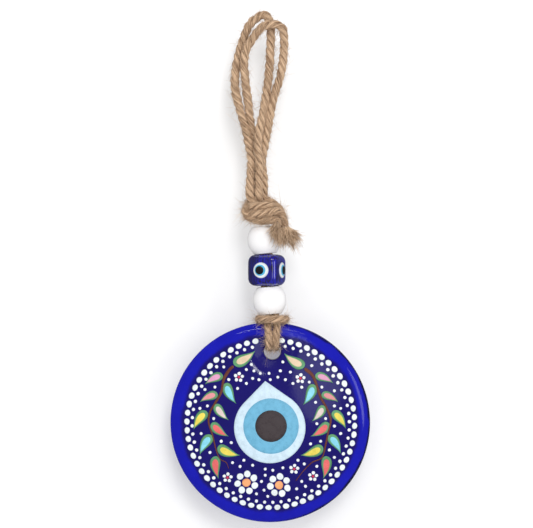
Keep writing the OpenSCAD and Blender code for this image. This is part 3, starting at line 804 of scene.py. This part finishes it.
def add_eye():
    """Three layers: a ring from the drop's outline to the iris, the iris round the pupil, the pupil."""
    iris_at, iris_r = middle_and_reach(np.vstack(cad_islands("eye_iris")))
    pupil_at, pupil_r = middle_and_reach(np.vstack(cad_islands("eye_pupil")))
    turn = TURN * np.arange(EYE_SIDES) / EYE_SIDES
    drop = drop_outline()
    iris = iris_at + polar(np.full(EYE_SIDES, iris_r), turn)
    pupil = pupil_at + polar(np.full(EYE_SIDES, pupil_r), turn)
    under_iris = iris_at + 0.98 * iris_r * unit(drop - iris_at)
    under_pupil = pupil_at + 0.97 * (pupil - pupil_at)
    add_enamel("eye_drop_enamel", [patch(drop, under_iris, 0.00018, rim=0.06, hollow=True)],
               enamel_material("drop_enamel", (0.60, 0.755, 0.865), 0.85),
               "white_enamel", "disc", "eye_drop")
    add_enamel("eye_iris_enamel", [patch(iris, under_pupil, 0.00022, rim=0.05, hollow=True)],
               enamel_material("iris_enamel", (0.145, 0.44, 0.645), 0.9),
               "pale_blue_enamel", "disc", "eye_iris")
    add_enamel("eye_pupil_enamel", [patch(pupil, pupil_at, 0.00028, rim=0.08)],
               enamel_material("pupil_enamel", (0.054, 0.041, 0.045), 0.7),
               "dark_enamel", "disc", "eye_pupil")


# ---- branches and leaves ----

# Middle lines in the disc's plane, from the thick upper end to the thin lower end.
BRANCH_LEFT = [
    (-0.0145, 0.0225, 0), (-0.0165, 0.0205, 0), (-0.0185, 0.017, 0), (-0.0195, 0.012, 0),
    (-0.022, 0.0075, 0), (-0.024, 0.004, 0), (-0.0245, 0, 0), (-0.023, -0.005, 0),
    (-0.0215, -0.011, 0), (-0.02, -0.0145, 0), (-0.0175, -0.016, 0), (-0.0165, -0.0185, 0),
]
BRANCH_RIGHT = [
    (0.0135, 0.0215, 0), (0.0165, 0.019, 0), (0.018, 0.016, 0), (0.02, 0.010, 0),
    (0.0225, 0.0055, 0), (0.024, 0.001, 0), (0.023, -0.004, 0), (0.022, -0.009, 0),
    (0.0205, -0.014, 0), (0.0165, -0.016, 0), (0.013, -0.0195, 0), (0.01, -0.0235, 0),
]
BRANCH_WIDTHS = (0.00135, 0.0003)
BRANCH_LENGTH = 0.045
PAINT_AT = (0.0, 0.00045)  # the painting's middle, off the disc's own


def stroke_patch(line, half, along, side, lift, rim):
    """A patch that reaches half its width to each side of a line."""

    def there_and_back(there, back):
        return np.concatenate([there, back[-2:0:-1]])

    edge = there_and_back(line + half * side, line - half * side)
    along = there_and_back(along, along)
    return patch(edge, there_and_back(line, line), lift, rim=rim, along=along)


def branch_patch(route, seed):
    """A stem painted in one stroke, its width tapering unevenly."""
    line = smooth_line(route, 0.0003)[:, :2] + PAINT_AT
    along = np.linspace(0, 1, len(line))
    ahead = unit(np.gradient(line, axis=0))
    side = np.stack([-ahead[:, 1], ahead[:, 0]], -1)
    uneven = 1 + 0.12 * wander(np.random.default_rng(seed), along * BRANCH_LENGTH, 0.002)[:, 0]
    half = (BRANCH_WIDTHS[0] + (BRANCH_WIDTHS[1] - BRANCH_WIDTHS[0]) * along) / 2 * uneven
    half *= np.sqrt(np.clip(np.minimum(along, 1 - along) / 0.012, 0, 1))
    return stroke_patch(line, half[:, None], along, side, 0.00022, 0.8)


LEAF_TAPER = 1.3
LEAF_STEPS = 30
LEAF_BOW = 0.055           # how far a leaf bends, and how wide it is, as shares of its length
LEAF_WIDTH = 0.47
FILL_WIDTH = 0.66 * LEAF_WIDTH
GREEN = (0.115, 0.33, 0.15)
LEAF_COLOURS = {
    "peach": (0.80, 0.62, 0.42), "pink": (0.72, 0.33, 0.52), "rose": (0.76, 0.29, 0.31),
    "blue": (0.24, 0.68, 0.83), "cream": (0.78, 0.64, 0.60), "yellow": (0.82, 0.68, 0.10),
    "red": (0.82, 0.15, 0.15),
}


def leaf_profile(t):
    """Half width of a leaf at a share of its length: round at the base, pointed at the tip."""
    return np.sqrt(t) * (1 - t) ** LEAF_TAPER


def leaf_patch(base, tip, start, stop, width, lift):
    """A leaf between two shares of its length, bent one way on the left of the disc and the other
    way on the right."""
    along = tip - base
    side = np.array((-along[1], along[0]))
    bow = LEAF_BOW if base[0] > 0 else -LEAF_BOW
    t = np.linspace(0, 1, LEAF_STEPS) ** 1.5
    s = start + (stop - start) * t
    line = base + s[:, None] * along + (4 * s * (1 - s) * (0.5 + s) * bow)[:, None] * side
    half = (width / 2 * leaf_profile(t) / leaf_profile(0.5 / (0.5 + LEAF_TAPER)))[:, None]
    return stroke_patch(line, half, s, side, lift, 0.5)


def leaf_ends(island):
    """A leaf's base and its tip: its two farthest corners, the base being nearer its broad end."""
    apart = np.linalg.norm(island[:, None] - island[None], axis=2)
    ends = island[list(np.unravel_index(apart.argmax(), apart.shape))]
    from_broad = np.linalg.norm(ends - island.mean(0), axis=1)
    return ends[from_broad.argmin()], ends[from_broad.argmax()]


def add_leaves():
    ends = [leaf_ends(island) for island in cad_islands("leaf_outlines")]
    outlines = [leaf_patch(base, tip, 0.0, 1.0, LEAF_WIDTH, 0.00016) for base, tip in ends]
    add_enamel("leaf_outline_enamel", outlines, enamel_material("green_enamel", GREEN, 0.6),
               "green_enamel", "disc", "leaf_outlines")
    for colour, value in LEAF_COLOURS.items():
        node = "leaf_fill_" + colour
        patches = []
        for island in cad_islands(node):
            middle = island.mean(0)
            base, tip = min(ends, key=lambda pair: np.linalg.norm(sum(pair) / 2 - middle))
            patches.append(leaf_patch(base, tip, 0.13, 0.93, FILL_WIDTH, 0.00024))
        material = enamel_material(colour + "_enamel", value, 0.8, tip_colour=GREEN)
        slot = "pale_blue_enamel" if colour == "blue" else colour + "_enamel"
        add_enamel(node + "_enamel", patches, material, slot, "disc", node)


def add_branches():
    brown = enamel_material("brown_enamel", (0.14, 0.035, 0.02), 0.7)
    for name, route, seed in (("branch_left", BRANCH_LEFT, 3), ("branch_right", BRANCH_RIGHT, 5)):
        add_enamel(name + "_enamel", [branch_patch(route, seed)], brown, "brown_enamel", "disc", name)


add_dot_enamel()
add_eye()
add_branches()
add_leaves()


# ---- beads ----

BEAD_SIDES = 96
BEAD_R = 0.0067
BEAD_H = 0.0109
BEAD_SIDE_R = 0.0073       # radius of the side's curve from top to bottom
BEAD_EDGE = 0.0007
BORE_R = 0.0035
BORE_LIP = 0.0004
BEAD_TURNS = TURN * np.arange(BEAD_SIDES) / BEAD_SIDES


def bead_frame(node):
    """A bead's centre and the directions across, beside and along its bore."""
    joint = next(j for j in frame["joints"] if j["child"] == node)
    low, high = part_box(node)
    place, up = Vector(joint["pos_m"]), Vector(joint["axis"]).normalized()
    middle = place + up * ((low + high) / 2 - place).dot(up)
    return np.array(middle), np.array((up.z, 0, -up.x)), np.array((0.0, 1.0, 0.0)), np.array(up)


def ring_points(middle, profile, across, beside, up, uneven=1.0):
    """Turns a profile of radii and heights about a bore."""
    out = turned(BEAD_TURNS, across, beside)
    reach = profile[:, :1] * np.broadcast_to(uneven, (1, BEAD_SIDES))
    return (middle + profile[:, 1:, None] * up + reach[..., None] * out).reshape(-1, 3)


def add_wooden_bead(name, node, seed, material):
    """A turned bead with a curved side, flat ends and softened edges, not perfectly round."""
    random = np.random.default_rng(seed)
    middle, across, beside, up = bead_frame(node)
    half = BEAD_H / 2
    height = np.linspace(BEAD_EDGE - half, half - BEAD_EDGE, 30)
    side = np.stack([BEAD_R - BEAD_SIDE_R + np.sqrt(BEAD_SIDE_R**2 - height**2), height], -1)
    flat = np.array((side[-1, 0] - BEAD_EDGE, half))
    shoulder = bezier(side[-1], side[-1] + (-0.0002, 0.0004), flat + (0.0003, 0), flat, 8)
    lip_corner, lip_end = np.array((BORE_R, half - BORE_LIP / 4)), np.array((BORE_R, half - BORE_LIP))
    mouth = bezier(flat, flat - (0.0002, 0), lip_corner, lip_end, 6)
    top = np.vstack([shoulder[1:], mouth[1:]])
    bore = np.linspace(half - BORE_LIP, BORE_LIP - half, 8)[1:-1]
    wall = np.stack([np.full(len(bore), BORE_R), bore], -1)
    profile = np.vstack([side, top, wall, top[::-1] * (1, -1)])
    waves = random.uniform(0, TURN, 2)
    uneven = 1 + 0.004 * np.cos(2 * BEAD_TURNS + waves[0]) + 0.003 * np.cos(3 * BEAD_TURNS + waves[1])
    points = ring_points(middle, profile, across, beside, up, uneven)
    piece = new_piece(name, points, grid_faces(len(profile), BEAD_SIDES, True), material)
    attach(turn_outward(piece), node)
    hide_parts(node)


def painted_wood():
    """White satin paint over turned wood, whose grain shows faintly."""
    s = Shader("painted_wood")
    place = s.place()
    grain = s.noise(s.stretched(place, (900, 900, 120)), 1.0, 3.0, 0.6)
    cloud = s.noise(place, 180.0, 2.0)
    paint = s.mix(cloud, (0.88, 0.87, 0.875), (0.91, 0.90, 0.905))
    s.set(Base_Color=s.mix(s.span(grain, 0.62, 0.8, 0.0, 0.35), paint, (0.78, 0.775, 0.77)))
    s.set(Roughness=s.span(cloud, 0.3, 0.7, 0.28, 0.42))
    s.bump(grain, 0.00005, 0.35)
    return s.material


# ---- cube bead ----

CUBE_W = 0.0128
CUBE_H = 0.0124
CUBE_EDGE = 0.0029         # radius of its rounded edges
CUBE_BULGE = 0.00012       # how far each face swells at its middle
CUBE_MOUTH = 0.0005        # radius of the bore's rounded mouths
CUBE_TURN = math.radians(-21.5)
CORNER_STEPS = 8
SIDE_STEPS = 12
CUBE_EYE_SHIFTS = (-0.0005, 0.001)    # how far each black spot sits to one side, on alternate faces


def rounded_square(inset):
    """A square's outline, drawn in by an inset that also sharpens its corners."""
    half = CUBE_W / 2 - inset
    corner = max(CUBE_EDGE - inset, 0.0)
    outline = []
    for k in range(4):
        centre = polar((half - corner) * math.sqrt(2), math.pi / 4 + k * math.pi / 2)
        bend = k * math.pi / 2 + np.linspace(0, math.pi / 2, CORNER_STEPS)
        arc = centre + polar(np.full(CORNER_STEPS, corner), bend)
        after = polar((half - corner) * math.sqrt(2), math.pi / 4 + (k + 1) * math.pi / 2)
        after = after + polar(corner, (k + 1) * math.pi / 2)
        share = np.linspace(0, 1, SIDE_STEPS + 2)[1:-1, None]
        out = polar(1.0, (k + 1) * math.pi / 2)
        side = arc[-1] * (1 - share) + after * share + CUBE_BULGE * np.sin(math.pi * share) * out
        outline += [arc, side]
    return np.vstack(outline)


def cube_rows():
    """Outlines and their heights, from the bore's upper mouth over the sides to its lower mouth."""
    half_h = CUBE_H / 2
    outer = rounded_square(0.0)
    around = np.arctan2(outer[:, 1], outer[:, 0])

    def circle(radius):
        return polar(np.full(len(outer), radius), around)

    mouth = [
        (circle(BORE_R + CUBE_MOUTH * (1 - math.sin(a))), half_h - CUBE_MOUTH * (1 - math.cos(a)))
        for a in np.linspace(math.pi / 2, 0, 5)[:-1]
    ]
    edge = [
        (rounded_square(CUBE_EDGE * (1 - math.sin(a))), half_h - CUBE_EDGE * (1 - math.cos(a)))
        for a in np.linspace(0, math.pi / 2, 9)
    ]
    rim, top = circle(BORE_R + CUBE_MOUTH), edge[0][0]
    face = [
        (rim * (1 - s) + top * s, half_h + 0.00008 * math.sin(math.pi * s))
        for s in np.linspace(0, 1, 6)[:-1]
    ]
    upper = mouth + face + edge
    sides = [(outer, z) for z in np.linspace(half_h - CUBE_EDGE, CUBE_EDGE - half_h, 14)[1:-1]]
    lower = [(at, -z) for at, z in upper[::-1]]
    return upper + sides + lower


def add_cube_bead():
    """A softly squared block of glass, pressed flat on four sides, round its bore."""
    middle, across, beside, up = bead_frame("cube_bead")
    first = turned(CUBE_TURN, across, beside)
    second = turned(CUBE_TURN, beside, -across)
    straight = CUBE_H / 2 - CUBE_EDGE
    points = []
    for at, z in cube_rows():
        swell = 1 + 0.008 * max(0.0, 1 - (z / straight) ** 2)
        points.append(middle + at[:, :1] * swell * first + at[:, 1:] * swell * second + z * up)
    faces = grid_faces(len(points), len(points[0]), True)
    piece = new_piece("cube_bead_body", np.vstack(points), faces, bead_glass())
    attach(turn_outward(piece), "cube_bead")
    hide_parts("cube_bead")


def bead_glass():
    """Cobalt glass with the faint upright streaks of a wound bead, and painted shade at its left."""
    s = Shader("bead_glass")
    place = s.place()
    streaks = s.noise(s.stretched(place, (1500, 1500, 110)), 1.0, 2.0)
    cloud = s.noise(place, 300.0, 2.0)
    tone = s.span(s.math("ADD", streaks, s.math("MULTIPLY", cloud, 0.5)), 0.55, 0.95)
    # Painted shade: the tone darkens towards the bead's left side.
    painted_shade_x = s.add("ShaderNodeSeparateXYZ", {0: place}).outputs[0]
    tone = s.math("MULTIPLY", tone, s.span(painted_shade_x, -0.0062, -0.0030, 0.25, 1.0))
    s.set(Base_Color=s.mix(tone, (0.006, 0.004, 0.045), (0.012, 0.012, 0.44)))
    s.set(Roughness=s.span(cloud, 0.3, 0.7, 0.03, 0.07))
    s.set(IOR=1.8, Transmission_Weight=0.15)
    s.bump(streaks, 0.00006, 0.3)
    return s.material


def cube_eye_patches(radius, share, lift, rim=0.35):
    """The same layer of the eye on each of the four faces, moved by a share of the face's shift."""
    middle, across, beside, up = bead_frame("cube_bead")
    patches = []
    for side in range(4):
        turn = CUBE_TURN + side * math.pi / 2 - math.pi / 2
        out = turned(turn, across, beside)
        right = turned(turn + math.pi / 2, across, beside)

        def on_face(at, height):
            swell = 0.00017 * (1 - (at[..., :1] / 0.005) ** 2)
            reach = CUBE_W / 2 + swell + height[..., None]
            return middle + at[..., :1] * right + at[..., 1:] * up + reach * out

        centre = np.array((share * CUBE_EYE_SHIFTS[side % 2], 0.0))
        edge = centre + polar(radius * (1 + 0.015 * np.cos(2 * CIRCLE + side)), CIRCLE)
        patches.append(patch(edge, centre, lift, place=on_face, rim=rim))
    return patches


def add_cube_eyes():
    white_r = 0.00315
    blue_r, black_r = 0.76 * white_r, 0.58 * white_r
    gloss = (0.05, 0.12)
    white = enamel_material("cube_white", (0.88, 0.93, 0.96), 0.75, roughness=gloss)
    blue = enamel_material("cube_blue", (0.10, 0.50, 0.78), 0.8, roughness=gloss)
    black = enamel_material("cube_black", (0.008, 0.008, 0.010), 0.6, roughness=gloss)
    add_enamel("cube_eye_white_glass", cube_eye_patches(white_r, 0.0, 0.00014), white,
               "white_enamel", "cube_bead", "cube_eye_whites")
    add_enamel("cube_eye_blue_glass", cube_eye_patches(blue_r, 0.6, 0.00026), blue,
               "pale_blue_enamel", "cube_bead", "cube_eye_blues")
    add_enamel("cube_eye_black_glass", cube_eye_patches(black_r, 1.0, 0.0007, 0.8), black,
               "dark_enamel", "cube_bead", "cube_eye_blacks")


WOOD = painted_wood()
add_wooden_bead("upper_bead_body", "upper_bead", 21, WOOD)
add_wooden_bead("lower_bead_body", "lower_bead", 22, WOOD)
add_cube_bead()
add_cube_eyes()


# ---- stage ----

AMBIENT = 0.76
IN_REFLECTIONS = 0.2
FLOOR_Z = -0.215
FLOOR_REACH = 0.25
FLOOR_GLOW = 0.16
BOARD_Y = 0.019            # behind the disc's farthest tilt
BOARD_REACH = 0.6
BOARD_TOP = 0.4
BOARD_GLOW = 0.17


def plain_sheet(name, corners, glow, one_sided=False):
    """A pale matt surface of the studio that glows a little. A one-sided one is clear from behind."""
    s = Shader(name)
    cloud = s.noise(s.place(), 3.0, 2.0)
    s.set(Base_Color=s.mix(cloud, (0.76, 0.76, 0.765), (0.79, 0.79, 0.79)))
    s.set(Emission_Color=(1, 1, 1, 1), Emission_Strength=glow, Specular_IOR_Level=0.0)
    s.set(Roughness=s.span(cloud, 0.0, 1.0, 0.85, 0.95))
    if one_sided:
        clear = s.add("ShaderNodeBsdfTransparent")
        facing = s.add("ShaderNodeNewGeometry").outputs["Backfacing"]
        both = s.add("ShaderNodeMixShader", {0: facing, 1: s.surface.outputs[0], 2: clear.outputs[0]})
        s.links.new(both.outputs[0], s.nodes["Material Output"].inputs["Surface"])
    sheet = new_piece(name, corners, [(0, 1, 2, 3)], s.material)
    return sheet


def add_backdrop():
    """A white board that only the camera sees, clear of the ornament's travel, and a floor below."""
    square = ((-1, -1), (1, -1), (1, 1), (-1, 1))
    corners = [(x * BOARD_REACH, BOARD_Y, BOARD_TOP if z > 0 else FLOOR_Z) for x, z in square]
    board = plain_sheet("backdrop", corners, BOARD_GLOW, one_sided=True)
    board.visible_diffuse = False
    board.visible_glossy = False
    board.visible_transmission = False
    board.visible_shadow = False
    corners = [(x * FLOOR_REACH, y * FLOOR_REACH, FLOOR_Z) for x, y in square]
    floor = plain_sheet("floor", corners, FLOOR_GLOW)
    floor.visible_glossy = False


def soft_box(name, direction, distance, size, radiance, target, in_gloss=True):
    """An oval light, at an azimuth to the right of the camera and an elevation, in degrees."""
    azimuth, elevation = (math.radians(angle) for angle in direction)
    level = math.cos(elevation)
    away = Vector((math.sin(azimuth) * level, -math.cos(azimuth) * level, math.sin(elevation)))
    data = bpy.data.lights.new(name, "AREA")
    data.shape = "ELLIPSE"
    data.size, data.size_y = size
    data.energy = radiance * math.pi**2 / 4 * size[0] * size[1]
    light = bpy.data.objects.new(name, data)
    light.location = target + distance * away
    light.rotation_euler = (-away).to_track_quat("-Z", "Y").to_euler()
    light.visible_glossy = in_gloss
    bpy.context.collection.objects.link(light)


def add_world():
    """Pale all round: white to the camera, a little dimmer as light and dim in reflections."""
    world = bpy.data.worlds.new("studio")
    world.use_nodes = True
    nodes, links = world.node_tree.nodes, world.node_tree.links
    rays = nodes.new("ShaderNodeLightPath")
    so_far = nodes["Background"]
    so_far.inputs["Color"].default_value = (1, 1, 1, 1)
    so_far.inputs["Strength"].default_value = AMBIENT
    for kind, strength in (("Is Glossy Ray", IN_REFLECTIONS), ("Is Camera Ray", 1.0)):
        pale = nodes.new("ShaderNodeBackground")
        pale.inputs["Color"].default_value = (1, 1, 1, 1)
        pale.inputs["Strength"].default_value = strength
        both = nodes.new("ShaderNodeMixShader")
        links.new(rays.outputs[kind], both.inputs[0])
        links.new(so_far.outputs[0], both.inputs[1])
        links.new(pale.outputs[0], both.inputs[2])
        so_far = both
    links.new(so_far.outputs[0], nodes["World Output"].inputs["Surface"])
    bpy.context.scene.world = world


def add_lights():
    """A key high in front, and four lights that show in the glass.

    Those are a window near the camera, nested so that its edge is soft, a tall strip at the
    right, a thin bar above and a small lamp.
    """
    disc = DISC_MIDDLE
    soft_box("key", (8, 24), 1.1, (0.36, 0.36), 10.8, PICTURE_MIDDLE, in_gloss=False)
    for k, share in enumerate((1.0, 0.8, 0.6, 0.4)):
        soft_box("window_%d" % k, (11, 4), 1.2, (0.24 * share, 0.42 * share), 1.6, disc)
    soft_box("strip", (42, 6), 1.2, (0.2, 0.6), 4.0, disc)
    soft_box("above", (0, 44), 0.8, (0.5, 0.04), 14.0, disc)
    soft_box("lamp", (-1.6, 8), 1.2, (0.045, 0.04), 22.0, disc)


add_backdrop()
add_world()
add_lights()
bpy.context.scene.view_settings.view_transform = "Standard"
